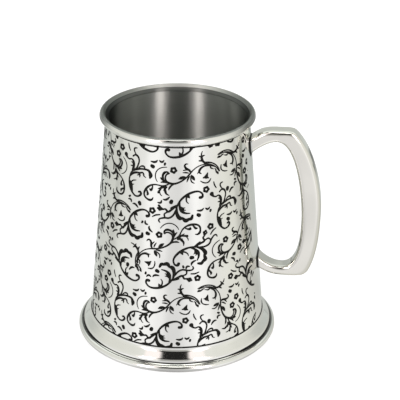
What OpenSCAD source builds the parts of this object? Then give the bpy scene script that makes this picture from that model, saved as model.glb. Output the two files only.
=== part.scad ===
// Pewter tankard: a tapered sheet body soldered into a spun foot, with a turned rim and a cast handle.
// The foot stands on z = 0, the body's axis is Z and the handle points along +X.

/* [Body] */
// Outer diameter of the wall at its lower edge
body_base_d = 94.5; // [90:0.5:100]
// Outer diameter of the wall at its upper edge
body_top_d = 74.8; // [70:0.2:80]
// Height of the wall between its two edges
body_h = 116; // [108:1:124]
// Thickness of the rolled sheet
wall_t = 1.6; // [1.2:0.1:2.2]
// Length of wall tucked down inside the foot
body_tuck = 4.4; // [4.2:0.1:5.4]
// Width of the soldered side seam
seam_w = 0.6; // [0.4:0.1:1]

/* [Rim] */
// How far the rim's bead stands out from the wall's upper edge
rim_out = 3; // [2.6:0.1:3.6]
// Height of the rim's crest above the wall's upper edge
rim_h = 3; // [2.6:0.1:3.6]
// Radius of the rim's bead
rim_r = 2.05; // [1.7:0.05:2.2]
// How far the rim reaches down over the outside of the wall
rim_grip = 1.5; // [1.2:0.1:2]
// How far the mouth flares out from the wall's inner face
rim_flare = 1.25; // [0.9:0.05:1.4]
// Height of that flare
rim_flare_h = 1.15; // [0.9:0.05:1.6]
// Width of the flat under the rim
rim_flat = 0.8; // [0.7:0.05:1]

/* [Foot] */
// How far the skirt stands out from the body at the groove
skirt_out = 4.3; // [3.8:0.1:5.2]
// How far the bottom bead stands out from the skirt
bead_out = 2.75; // [2.2:0.05:3.2]
// Radius of the bottom bead
bead_r = 1.85; // [1.5:0.05:2.1]
// Radius of the hollow moulding under the foot's top edge
cove_r = 3; // [2:0.1:3.6]
// Radius of the round moulding above the groove
ovolo_r = 3; // [2.4:0.1:3.6]
// Thickness of the foot's top edge
lip_t = 0.3; // [0.2:0.05:0.5]
// Height of the foot's top edge
lip_h = 0.25; // [0.15:0.05:0.4]
// Width of the groove
groove_w = 1; // [0.8:0.05:1.4]
// Depth of the groove
groove_d = 0.5; // [0.3:0.05:0.6]
// Thickness of the spun skirt
foot_t = 1.3; // [1:0.1:1.6]

/* [Floor] */
// Height of the floor's top above the wall's lower edge
floor_rise = 3.6; // [3.4:0.1:8]
// Thickness of the floor
floor_t = 1.6; // [1.2:0.1:2]
// Radius at the floor's turned-down edge
floor_bend = 1.5; // [1:0.1:1.7]

/* [Handle] */
// Distance from the body's axis to the back of the grip
handle_reach = 76.4; // [73:0.2:84]
// Distance from the wall's upper edge down to the top of the handle
handle_drop = 4.5; // [3:0.5:12]
// Height of the handle
handle_h = 83.2; // [76:0.4:84]
// Width of the handle across its grip
handle_w = 10; // [8:0.5:13]
// Rounding of the handle's long edges
handle_edge = 1.8; // [0.8:0.1:2]
// Depth of the grip from front to back
grip_d = 10; // [8:0.5:11]
// Depth of the upper arm at its thinnest
upper_arm_d = 6.1; // [5:0.1:7]
// Depth of the lower arm at its thinnest
lower_arm_d = 5.2; // [4.4:0.1:6]
// Height of the grip's widest place above the handle's lowest point
grip_rise = 37; // [32:1:42]
// How far the upper shoulder stands in from the back of the grip
shoulder_set = 14.9; // [12:0.5:17]
// How far the lower heel stands in from the back of the grip
heel_set = 7.1; // [5:0.5:10]
// Size of the shoulder's rounding
shoulder_round = 1.55; // [1:0.05:2.2]
// Size of the heel's rounding
heel_round = 1.85; // [1.2:0.05:2.4]
// Length of the upper arm's straight top, back from the shoulder
arm_flat = 7.5; // [6:0.5:9]
// Length of the lower arm's straight underside, back from the heel
heel_flat = 9.3; // [7.5:0.1:11]
// Distance from the shoulder back to the crown of the arch under the upper arm
arch_in = 9.5; // [8:0.5:12]
// Distance from the heel back to the lowest place of the lower arm's hollow
hollow_in = 13.2; // [11:0.1:15]
// Drop of the grip's inner bow below its outer bow
grip_lag = 3.5; // [1:0.5:6]
// Height of each root where it meets the body
root_h = 8.6; // [7.4:0.2:9.6]
// Drop of the upper root's middle below the top of the handle
upper_root_drop = 9.7; // [9:0.1:11]
// Rise of the lower root's middle above the bottom of the handle
lower_root_rise = 8.5; // [7.5:0.1:9.5]

/* [Solder] */
// Width of the solder fillets along the rim, the floor and the foot
ring_fillet = 0.6; // [0.4:0.05:0.8]
// Spread of the handle's solder fillets over the body
root_fillet = 1.2; // [0.9:0.1:2]
// Length of those fillets along the handle
root_leg = 1.5; // [1.1:0.1:2.4]

/* [Hidden] */
$fn = 128;
pewter = [0.80, 0.80, 0.77];
solder = [0.68, 0.69, 0.67];

// Taper of the body: loss of radius per unit of height, and the sheet's thickness along a radius
taper = (body_base_d - body_top_d) / 2 / body_h;
wall_dr = wall_t * sqrt(1 + taper * taper);

// Foot heights, built up from the table
groove_z = 2 * bead_r + groove_w;
lip_body_r = body_base_d / 2 - body_tuck * taper;
lip_r = lip_body_r + lip_t;
skirt_r = lip_body_r + skirt_out;
foot_r = skirt_r + bead_out;
diag = sqrt(0.5);
slope_run = skirt_out - lip_t - (cove_r + ovolo_r) * (1 - diag);
cove_z = groove_z + (ovolo_r + cove_r) * diag + slope_run;
foot_top = cove_z + lip_h;

body_z = foot_top - body_tuck;
body_top_z = body_z + body_h;
floor_z = body_z + floor_rise;

// Outer and inner radius of the body's wall at a height
function body_r(z) = body_base_d / 2 - (z - body_z) * taper;
function wall_in(z) = body_r(z) - wall_dr;

// The inner face of the skirt lies on r + z = skirt_in, and leaves the body at foot_contact
skirt_in = lip_r + cove_r * (1 - diag) + cove_z - cove_r * diag - foot_t / diag;
foot_contact = (skirt_in - body_r(0)) / (1 - taper);

// Points of an arc about a centre [r, z], from angle a to angle b
function arc(c, r, a, b, n = 10) = [for (i = [0:n]) c + r * [cos(a + (b - a) * i / n), sin(a + (b - a) * i / n)]];

module ring(points) {
    rotate_extrude() polygon(points);
}

// Body

module wall_blank() {
    ring([[body_r(body_z), body_z], [body_r(body_top_z), body_top_z],
          [wall_in(body_top_z), body_top_z], [wall_in(body_z), body_z]]);
}

// The slot where the edges of the rolled sheet face each other, on the handle's side
module seam_slot() {
    translate([wall_in(body_top_z) - wall_t, -seam_w / 2, body_z - 1])
        cube([body_base_d, seam_w, body_h + 2]);
}

module body_wall() {
    color(pewter) difference() {
        wall_blank();
        seam_slot();
    }
}

module side_seam_solder() {
    color(solder) intersection() {
        wall_blank();
        seam_slot();
    }
}

// Rim

mouth_r = wall_in(body_top_z);
rim_low = body_top_z - rim_grip;
rim_centre = [body_top_d / 2 + rim_out - rim_r, body_top_z + rim_h - rim_r];

module rim() {
    color(pewter) ring(concat(
        [[mouth_r, body_top_z], [mouth_r + rim_flare, body_top_z + rim_flare_h]],
        arc(rim_centre, rim_r, 90, -65, 24),
        [[body_r(rim_low) + rim_flat, rim_low], [body_r(rim_low), rim_low], [body_top_d / 2, body_top_z]]));
}

module rim_solder() {
    color(solder) ring(concat([[body_r(rim_low), rim_low]], [for (i = [0:8])
        let (s = i / 8, z = rim_low - s * ring_fillet)
        [body_r(z) + ring_fillet * (1 - sqrt(1 - pow(1 - s, 2))), z]]));
}

// Floor

// The bend touches the leaning wall, so its centre lies one bend radius square off the wall's face
lean = atan(taper);
bend_centre = [wall_in(floor_z - floor_bend) - floor_bend / cos(lean), floor_z - floor_bend];

module floor_disc() {
    color(pewter) ring(concat(
        [[0, floor_z - floor_t], [0, floor_z]],
        arc(bend_centre, floor_bend, 90, lean, 8),
        [[wall_in(body_z), body_z], [wall_in(body_z) - floor_t, body_z],
         [wall_in(floor_z - floor_t) - floor_t, floor_z - floor_t]]));
}

module floor_solder() {
    color(solder) ring(concat(
        arc(bend_centre, floor_bend, lean, 90, 8),
        [[wall_in(floor_z + ring_fillet), floor_z + ring_fillet]]));
}

// Foot

ovolo_centre = [skirt_r - ovolo_r, groove_z];

module foot() {
    color(pewter) ring(concat(
        [[lip_body_r, foot_top], [lip_r, foot_top]],
        arc([lip_r + cove_r, cove_z], cove_r, 180, 225, 10),
        arc(ovolo_centre, ovolo_r, 45, 0, 10),
        [[skirt_r - groove_d, groove_z - groove_w / 2]],
        arc([foot_r - bead_r, bead_r], bead_r, 100, -90, 24),
        [[skirt_r - foot_t, 0]],
        arc(ovolo_centre, ovolo_r - foot_t, 0, 45, 8),
        [[body_r(foot_contact), foot_contact]]));
}

module foot_solder() {
    low = foot_contact - ring_fillet;
    color(solder) ring([[body_r(foot_contact), foot_contact], [skirt_in - low, low], [body_r(low), low]]);
}

// Handle

handle_top = body_top_z - handle_drop;
handle_low = handle_top - handle_h;
upper_root = handle_top - upper_root_drop;
lower_root = handle_low + lower_root_rise;
shoulder_x = handle_reach - shoulder_set;
heel_x = handle_reach - heel_set;
grip_z = handle_low + grip_rise;
root_back = 3;
root_in = 0.8;

// A knot of an outline just inside the body's surface, at a height and with a heading
function root_knot(z, heading) = [body_r(z) - root_in, z, heading];

// Knots [x, z, heading] of the two side-view outlines, from the upper root round to the lower root
outer_knots = [
    root_knot(upper_root + root_h / 2, 38),
    [shoulder_x - arm_flat, handle_top, 0],
    [shoulder_x - shoulder_round, handle_top - shoulder_round / 8, -11],
    [shoulder_x + shoulder_round, handle_top - shoulder_round * 3 / 2, -48],
    [handle_reach, grip_z, -90],
    [heel_x + heel_round, handle_low + heel_round * 2, -116],
    [heel_x - heel_round, handle_low + heel_round / 3, -170],
    [heel_x - heel_flat, handle_low, -180],
    root_knot(lower_root - root_h / 2, -212)];
inner_knots = [
    root_knot(upper_root - root_h / 2, 48),
    [shoulder_x - arch_in, handle_top - upper_arm_d, 0],
    [handle_reach - grip_d, grip_z - grip_lag, -90],
    [heel_x - hollow_in, handle_low + lower_arm_d, -180],
    root_knot(lower_root + root_h / 2, -236)];

// Steps between the knots and the pull of each step's two ends
outer_steps = [7, 2, 4, 24, 21, 4, 5, 7];
outer_pull = [[0.5, 0.42], [0.36, 0.45], [0.25, 0.5], [0.27, 0.33],
              [0.35, 0.28], [0.3, 0.3], [0.33, 0.33], [0.4, 0.46]];
inner_steps = [7, 30, 30, 7];
inner_pull = [[0.27, 0.28], [0.24, 0.24], [0.52, 0.28], [0.36, 0.32]];

function heading(a) = [cos(a), sin(a)];
function place(k) = [k[0], k[1]];
function bezier(p, a, b, q, t) =
    pow(1 - t, 3) * p + 3 * t * pow(1 - t, 2) * a + 3 * t * t * (1 - t) * b + pow(t, 3) * q;

// A smooth outline through its knots, with a straight tail at each end that runs into the body
function outline(knots, steps, pull) = let (last = len(knots) - 1) concat(
    [place(knots[0]) - root_back * heading(knots[0][2])],
    [for (i = [0:last - 1])
        let (p = place(knots[i]), q = place(knots[i + 1]), span = norm(q - p))
        for (j = [(i == 0 ? 0 : 1):steps[i]])
            bezier(p, p + span * pull[i][0] * heading(knots[i][2]),
                   q - span * pull[i][1] * heading(knots[i + 1][2]), q, j / steps[i])],
    [place(knots[last]) + root_back * heading(knots[last][2])]);

outer = outline(outer_knots, outer_steps, outer_pull);
inner = outline(inner_knots, inner_steps, inner_pull);
last_ring = len(outer) - 1;

// Section of the handle: a rounded rectangle, as [along its depth, along its width] places and normals
corner_steps = 4;
side_steps = 4;
function corner(sd, sw, a, depth) = [for (i = [0:corner_steps])
    let (n = heading(a + 90 * i / corner_steps))
    [[sd * (depth / 2 - handle_edge), sw * (handle_w / 2 - handle_edge)] + handle_edge * n, n]];
function side(p, q) = [for (i = [1:side_steps - 1]) [p[0] + (q[0] - p[0]) * i / side_steps, p[1]]];
function section(depth) = let (
    a = corner(1, 1, 0, depth), b = corner(-1, 1, 90, depth),
    c = corner(-1, -1, 180, depth), d = corner(1, -1, 270, depth))
    concat(a, side(a[corner_steps], b[0]), b, side(b[corner_steps], c[0]),
           c, side(c[corner_steps], d[0]), d, side(d[corner_steps], a[0]));
section_n = len(section(grip_d));

// Ring number i of the handle, and one of its points put in space
function depth_dir(i) = (outer[i] - inner[i]) / norm(outer[i] - inner[i]);
function ring_points(i) = let (m = (outer[i] + inner[i]) / 2, u = depth_dir(i))
    [for (s = section(norm(outer[i] - inner[i]))) [m[0] + u[0] * s[0][0], s[0][1], m[1] + u[1] * s[0][0]]];

// Faces between neighbouring closed loops of n points
function band(i, n) = [for (k = [0:n - 1]) let (a = i * n + k, b = i * n + (k + 1) % n) each
    [[a, b, b + n], [a, b + n, a + n]]];

// Solid inside the body's outer face, which trims what is soldered to it
module body_core() {
    rotate_extrude($fn = 720) polygon([[0, body_z], [body_r(body_z), body_z], [body_r(body_top_z), body_top_z], [0, body_top_z]]);
}

module handle() {
    n = section_n;
    color(pewter) difference() {
        polyhedron([for (i = [0:last_ring]) each ring_points(i)],
                   concat([[for (k = [n - 1:-1:0]) k]],
                          [for (i = [0:last_ring - 1]) each band(i, n)],
                          [[for (k = [0:n - 1]) last_ring * n + k]]));
        body_core();
    }
}

// Solder fillets at the roots, from the handle's end ring i inwards in steps of d

root_sink = 0.5;
edge_sink = 0.08;
curve_steps = 4;
hollow = 0.6;

// Point on the body's cone at the height and angle of p, sunk in by a depth
function on_body(p, sink) = let (s = (body_r(p[2]) - sink) / norm([p[0], p[1]])) [p[0] * s, p[1] * s, p[2]];

// Loop of one station: out under the body's face, then up a hollow curve to the handle
function fillet_loop(low, mid, high, n, up) = let (
    a = on_body(mid, 0),
    b = on_body(a + root_fillet * [0, n[1], up * n[0]], edge_sink),
    pull = hollow * a + (1 - hollow) * (b + high) / 2)
    concat([on_body(mid + (low - mid) * 0.1, root_sink), on_body(b, root_sink)],
           [for (t = [0:curve_steps]) let (s = t / curve_steps)
               pow(1 - s, 2) * b + 2 * s * (1 - s) * pull + s * s * high]);

// Point at a length along the handle from ring i, on the line of section point k
function along(rings, k, i, length) = let (step = norm(rings[i + 1][k] - rings[i][k]))
    length > step && i < len(rings) - 2
        ? along(rings, k, i + 1, length - step)
        : rings[i][k] + (rings[i + 1][k] - rings[i][k]) * length / step;

module root_fillet_ring(i, d) {
    rings = [for (j = [0:7]) ring_points(i + j * d)];
    low = rings[0];
    mid = rings[1];
    high = [for (k = [0:section_n - 1]) along(rings, k, 1, root_in + root_leg)];
    normals = [for (s = section(root_h)) s[1]];
    up = sign(depth_dir(i + d)[1]);
    m = curve_steps + 3;
    n = section_n;
    points = [for (k = [0:n - 1]) each fillet_loop(low[k], mid[k], high[k], normals[k], up)];
    faces = [for (k = [0:n - 1]) for (j = [0:m - 1])
        let (a = k * m + j, b = k * m + (j + 1) % m, c = ((k + 1) % n) * m + j, d = ((k + 1) % n) * m + (j + 1) % m)
        each [[a, c, d], [a, d, b]]];
    difference() {
        polyhedron(points, up > 0 ? faces : [for (f = faces) [f[0], f[2], f[1]]]);
        body_core();
    }
}

module handle_upper_solder() {
    color(solder) root_fillet_ring(0, 1);
}

module handle_lower_solder() {
    color(solder) root_fillet_ring(last_ring, -1);
}

body_wall();
side_seam_solder();
rim();
rim_solder();
floor_disc();
floor_solder();
foot();
foot_solder();
handle();
handle_upper_solder();
handle_lower_solder();
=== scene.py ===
"""Looks of a pewter tankard: polished tapered body with black-filled scrollwork, turned rim, spun foot, cast handle.

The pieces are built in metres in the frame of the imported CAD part: +Z up, foot on z = 0, handle along +X.
"""

import math

import bmesh
import bpy
from bpy.props import FloatProperty, FloatVectorProperty, IntProperty, PointerProperty
from mathutils import Matrix, Vector


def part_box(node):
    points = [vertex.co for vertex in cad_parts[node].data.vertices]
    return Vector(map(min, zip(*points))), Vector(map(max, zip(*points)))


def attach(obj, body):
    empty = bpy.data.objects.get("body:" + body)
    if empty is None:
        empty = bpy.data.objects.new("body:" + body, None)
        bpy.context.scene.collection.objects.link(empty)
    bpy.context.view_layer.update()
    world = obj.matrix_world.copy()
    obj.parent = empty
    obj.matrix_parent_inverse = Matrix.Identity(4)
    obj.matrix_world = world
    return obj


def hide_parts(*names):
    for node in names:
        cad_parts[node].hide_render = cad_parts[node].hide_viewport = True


bl_info = {
    "name": "Pewter tankard",
    "version": (1, 0, 0),
    "blender": (4, 5, 0),
    "location": "3D View > Sidebar > Tankard",
    "description": "Builds the pewter tankard's pieces, finishes and stage",
    "category": "Object",
}

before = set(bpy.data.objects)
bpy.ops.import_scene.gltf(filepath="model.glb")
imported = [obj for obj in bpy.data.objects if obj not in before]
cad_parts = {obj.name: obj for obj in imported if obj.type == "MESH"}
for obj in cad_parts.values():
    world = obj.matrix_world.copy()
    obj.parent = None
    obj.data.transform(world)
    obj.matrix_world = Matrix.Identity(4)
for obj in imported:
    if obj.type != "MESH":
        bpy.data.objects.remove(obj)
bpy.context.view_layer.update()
MM = 0.001


# Sizes and colours


def length(name, mm, description):
    return FloatProperty(name=name, description=description, default=mm * MM, unit="LENGTH", precision=5)


def colour(name, rgb, description):
    return FloatVectorProperty(name=name, description=description, default=rgb, subtype="COLOR", min=0, max=1)


class BodySizes(bpy.types.PropertyGroup):
    """Sizes of the wall, the floor and the rim"""

    base_r: length("Base radius", 47.25, "Outer radius of the wall at its lower edge")
    top_r: length("Top radius", 37.4, "Outer radius of the wall at its upper edge")
    low: length("Lower edge", 7.035, "Height of the wall's lower edge")
    tall: length("Height", 116, "Height of the wall between its two edges")
    wall: length("Wall", 1.6, "Thickness of the rolled sheet")
    seam: length("Seam", 0.6, "Width of the soldered side seam")
    floor_rise: length("Floor rise", 3.6, "Height of the floor above the wall's lower edge")
    floor_bend: length("Floor bend", 1.5, "Radius at the floor's turned-down edge")
    rim_out: length("Rim width", 3, "How far the rim's bead stands out from the wall")
    rim_r: length("Rim bead", 2.05, "Radius of the rim's bead")
    rim_grip: length("Rim grip", 1.5, "How far the rim reaches down over the wall")
    rim_flare: length("Rim flare", 1.25, "How far the mouth flares out from the wall's inner face")
    rim_flare_h: length("Rim flare height", 1.15, "Height of that flare")
    rim_satin: length("Rim satin", 1.2, "How far the satin top of the rim reaches out from the crest")
    rim_flat: length("Rim flat", 0.8, "Width of the flat under the rim")
    fillet: length("Ring fillet", 0.6, "Width of the solder along the rim, the floor and the foot")
    turns: IntProperty(name="Turn steps", description="Faces round each spun piece", default=256)


class FootSizes(bpy.types.PropertyGroup):
    """Sizes of the spun foot"""

    top: length("Top edge", 11.435, "Height of the foot's top edge")
    lip: length("Lip", 0.3, "Thickness of the top edge")
    lip_h: length("Lip height", 0.25, "Height of the top edge")
    skirt_out: length("Skirt", 4.3, "How far the skirt stands out from the body")
    bead_out: length("Bead width", 2.75, "How far the bottom bead stands out from the skirt")
    bead_r: length("Bead", 1.85, "Radius of the bottom bead")
    cove_r: length("Cove", 3, "Radius of the hollow moulding")
    ovolo_r: length("Ovolo", 3, "Radius of the round moulding")
    groove_w: length("Groove width", 1, "Width of the groove")
    groove_d: length("Groove depth", 0.5, "Depth of the groove")
    sheet: length("Sheet", 1.3, "Thickness of the skirt")


class HandleSizes(bpy.types.PropertyGroup):
    """Sizes of the cast handle and its two solder fillets"""

    reach: length("Reach", 76.4, "Distance from the axis to the back of the grip")
    top: length("Top", 118.535, "Height of the handle's top")
    low: length("Bottom", 35.335, "Height of the handle's lowest point")
    width: length("Width", 10, "Width across the grip")
    edge: length("Edge rounding", 2.3, "Rounding of the long edges")
    grip: length("Grip depth", 10, "Depth of the grip from front to back")
    upper_arm: length("Upper arm", 6.1, "Depth of the upper arm at its thinnest")
    lower_arm: length("Lower arm", 5.2, "Depth of the lower arm at its thinnest")
    grip_rise: length("Grip rise", 37, "Height of the grip's widest place above the bottom")
    shoulder_set: length("Shoulder", 14.9, "How far the shoulder stands in from the grip's back")
    heel_set: length("Heel", 7.1, "How far the heel stands in from the grip's back")
    shoulder_round: length("Shoulder rounding", 1.55, "Size of the shoulder's rounding")
    heel_round: length("Heel rounding", 1.85, "Size of the heel's rounding")
    arm_flat: length("Arm flat", 7.5, "Length of the upper arm's straight top")
    heel_flat: length("Heel flat", 9.3, "Length of the lower arm's straight underside")
    arch_in: length("Arch", 9.5, "Distance from the shoulder to the crown of the arch")
    hollow_in: length("Hollow", 13.2, "Distance from the heel to the lower arm's hollow")
    grip_lag: length("Grip lag", 3.5, "Drop of the inner bow below the outer bow")
    root_h: length("Root height", 8.6, "Height of each root where it meets the body")
    root_drop: length("Upper root", 9.7, "Drop of the upper root's middle below the top")
    root_rise: length("Lower root", 8.5, "Rise of the lower root's middle above the bottom")
    root_in: length("Root depth", 0.8, "How far the roots reach into the wall")
    fillet: length("Root fillet", 1.2, "Spread of the solder over the body")
    leg: length("Fillet leg", 1.5, "Length of the solder along the handle")


class ScrollSizes(bpy.types.PropertyGroup):
    """Sizes of the scrollwork's repeat and of its black fill"""

    repeat_x: length("Repeat across", 76.4, "Width of the repeat on the flat sheet")
    repeat_y: length("Repeat up", 72.25, "Height of the repeat on the flat sheet")
    low: length("Lower end", 11.3, "Height where the scrollwork goes under the foot")
    high: length("Upper end", 121.6, "Height where the scrollwork goes under the rim")
    proud: length("Proud", 0.02, "How far the fill stands out of the polished wall")
    deep: length("Depth", 0.12, "Thickness of the fill")
    plain: FloatProperty(name="Plain strip", description="Half angle of the plain strip behind the handle",
                         default=math.radians(16), subtype="ANGLE")
    step: length("Step", 0.6, "Length of one face along a stroke")
    weight: FloatProperty(name="Weight", description="Share by which the strokes are widened", default=1.5)


class TankardColours(bpy.types.PropertyGroup):
    """Colours of the finishes and of the stage"""

    bright: colour("Polished pewter", (0.80, 0.80, 0.765), "Polished outside")
    cast: colour("Cast pewter", (0.80, 0.785, 0.73), "Polished handle")
    satin: colour("Satin pewter", (0.42, 0.438, 0.415), "Satin inside")
    solder: colour("Solder", (0.60, 0.61, 0.59), "Polished solder")
    fill: colour("Black fill", (0.004, 0.004, 0.0035), "Fill of the scrollwork")
    floor: colour("Floor", (0.92, 0.92, 0.91), "Stage floor")


# Motifs of the scrollwork: strokes of (x, y, width) knots in millimetres on the flat sheet.
# A stroke runs smoothly through its knots and is round at its ends.

SCROLL = (
    # stem from the flower curl through the leaf node to the triangle curl
    ((-2.1, -2.1, .7), (-3, -2.7, .6), (-3.5, -4, .6), (-3.3, -5.5, .65), (-2.3, -6.7, .75), (-.5, -7.2, .85),
     (1.5, -7, .75), (3.7, -5.9, .65), (5.8, -4.2, .6), (7.5, -2.2, .6), (8.6, -.4, .6), (9.7, 1.2, .45),
     (11.5, 3, .4), (14, 4.3, .4), (17, 4.9, .4), (20, 4.2, .4), (22.3, 2.8, .4), (23.8, 1.2, .35)),
    # flower curl's outer line and jags, thin arc behind it
    ((-1.9, -2, .5), (-3.1, -1.5, .65), (-4.4, -2.2, .9), (-4.9, -3.8, .8), (-4.6, -5.4, .8), (-3.9, -6.5, .7),
     (-2.7, -7.1, .5)),
    ((-5.8, -5.3, .5), (-4.9, -5.7, 1), (-4.2, -6.5, .6)),
    ((-5.3, -7.5, .4), (-4, -7.1, .7), (-2, -7.1, .6)),
    ((-3.6, 1, .3), (-5.9, .3, .4), (-7.7, -1.1, .4), (-8.6, -3, .4), (-8.6, -5, .4), (-8, -6.6, .35),
     (-7.2, -7.6, .25)),
    # leaves of the node
    ((8.7, -.2, .5), (7.9, .9, .8), (6.4, 1.6, .85), (5.4, 2.4, .75), (5.1, 3.4, .65), (5.7, 4.1, .55), (6.5, 4.2, .3)),
    ((6.9, 1.3, .7), (4.8, .6, .35)),
    ((7.5, -.5, .4), (6.3, -.4, .6), (4.8, -.6, .3)),
    ((6.6, -2.7, .3), (5.5, -3, 1), (4.2, -3.6, 1.1), (3.2, -4.2, .35)),
    ((9.2, -1.4, .3), (9.9, -2.3, 1), (10.7, -3.3, 1), (11.3, -4, .3)),
    ((9, -1.9, .4), (9.3, -3.8, .5), (10, -5, .5), (11.3, -5.6, .3)),
    ((8.4, -2.2, .35), (7.8, -3.6, .65), (7.5, -5.2, .3)),
    # branch to the side curl
    ((1.1, -7.2, .7), (.1, -8.2, .65), (-.7, -9.6, .7), (-.9, -10.8, .3)),
    ((-.9, -7.2, .5), (-2.3, -8.4, .55), (-4.2, -9.3, .65), (-6.1, -9.3, .5), (-8.1, -9.4, .55), (-10.1, -10.2, .65),
     (-11.8, -11.8, .85), (-12.9, -13.8, .8), (-13.2, -15.6, .7), (-12.6, -17.1, .7), (-11.3, -18, .65),
     (-9.8, -18.3, .9), (-8.6, -17.7, .7), (-8.2, -16.5, .3)),
    ((-9.3, -10.1, .4), (-9.3, -11.6, .65), (-9.9, -12.9, 1), (-10.6, -12.4, .4)),
    ((-12.5, -12.8, .6), (-11.7, -14.1, .7), (-11.2, -15.4, .9), (-11.6, -16.1, .4)),
    ((-2.9, -9.4, .8), (-4.3, -10, .9), (-5.5, -10.8, .6), (-6.3, -11.2, .3)),
    ((-4.7, -10.6, .5), (-5.5, -12.2, .8), (-5.8, -13.1, .9)),
    ((-5.3, -12.8, .4), (-4.6, -14.1, .4), (-3.8, -14.6, .25)),
    ((-3.1, -10.1, .8), (-2.5, -11.7, .9), (-1.8, -13, .7), (-.3, -13.6, .3)),
    ((-2.1, -9.4, .6), (-3.2, -11.4, .6)),
    # triangle curl
    ((15.1, 5.4, .8), (17.1, 5.7, .6), (19.3, 5.4, .5), (21.5, 4.4, .5), (23.3, 2.8, .5), (24.4, 1.1, .4)),
    ((14.1, -.3, .4), (13.1, .2, .7), (13, 1.3, .9), (13.7, 2.6, .8), (15.2, 3.7, .65), (17.3, 4.2, .8),
     (19.4, 4, .6), (21.1, 3.5, .4)),
    ((12.7, .6, .5), (12.2, -.5, .25)),
    ((21.2, 2.6, .3), (22, 1.8, .6), (22.4, .8, .6), (23.4, .2, .9), (23.7, -.5, .3)),
    ((18.5, 3.6, .5), (19, 2.8, .6), (20.7, 2.2, .25)),
    ((17.6, .2, .4), (17.3, -1, 1), (17.1, -1.9, 1.5)),
    ((15.6, -2.5, .5), (17, -2, 1), (18.4, -2.4, .5)),
    ((14.4, -4.2, .3), (15.8, -4.9, .5), (17.7, -5.1, .45), (19.1, -4.3, .6), (19.8, -2.8, .35)),
    # tuft where the two curls part
    ((15.3, 5.3, .8), (14.1, 6.2, .8), (13.3, 7.4, .9), (12.7, 8.5, .7), (11.7, 8.6, .4)),
    ((13.8, 6.4, .7), (12.1, 6.3, .5)),
    ((13.2, 8, .6), (13.7, 9, .6), (14.5, 9.3, .3)),
    ((13, 8.6, .5), (12.7, 10, .5), (13, 11.3, .3)),
)
FAN = (
    # open curl with its shaded leaf
    ((.4, .1, .6), (-.8, -1.4, .6), (-1.4, -3.7, .6), (-1.5, -5.7, .65), (-1, -8.1, .75), (0, -10.1, .85),
     (1.4, -11.8, .75), (3.2, -12.9, .65), (4.8, -12.7, .65), (6, -11.8, .8), (6.4, -10.7, .9), (5.8, -9.9, .8),
     (5, -10.2, .7)),
    ((-.8, -6.1, .5), (0, -7.4, 1.1), (.4, -9.1, 1.2), (1.2, -10.9, .6)),
    ((-.3, -6.7, .5), (.8, -5.3, .5), (2.6, -4.5, .3)),
    ((.4, -7.7, .5), (1.6, -7.1, .3)),
    # lower and upper leaf of the fan
    ((-1, -3, .7), (.2, -1.6, .8), (2, -.5, .8), (4.1, -.1, .7), (5.7, .6, .6), (6.4, -.2, .65), (6.7, -1, .5),
     (7.8, -1.5, .3)),
    ((2.9, -1.7, .3), (4.3, -.9, .7), (4.4, -2.2, .4)),
    ((.2, .1, .4), (2.2, 1.3, .8), (4.3, 2.2, .7), (6.8, 2.7, .7), (8.7, 2.6, .9), (9.6, 1.7, 1.1), (10.2, .3, 1.5),
     (10, -1.1, .7)),
    ((3.3, 2.6, .4), (4.8, 3.9, .6), (6.2, 3.9, .7), (6.6, 2.9, .5)),
    # tendrils
    ((-.1, .2, 1), (.2, 2.2, 1), (0, 3.9, 1.1), (-.7, 5.3, .8), (-1.8, 5.7, .55), (-2.9, 5.2, .6), (-4.4, 5.6, .7),
     (-5.4, 6.9, 1.6)),
    ((-.3, 2.3, .6), (-1.5, 2.2, .4)),
    ((-.3, 3.8, .6), (-1.4, 4.2, .35)),
    ((.8, .4, .8), (2.1, 1.9, .7), (2.7, 4, .6), (3, 6, .6), (2.4, 7.7, .7), (1.2, 8.6, .8), (0, 8.4, .6),
     (-.9, 7.5, .6)),
    ((1.1, 8.6, .5), (0, 9.7, .5), (-.7, 11.1, .6), (-.3, 12.1, .6), (.8, 12.4, .4)),
    ((-4.6, 13.2, .4), (-4.1, 11.6, .55), (-3, 9.9, .4)),
)
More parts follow.
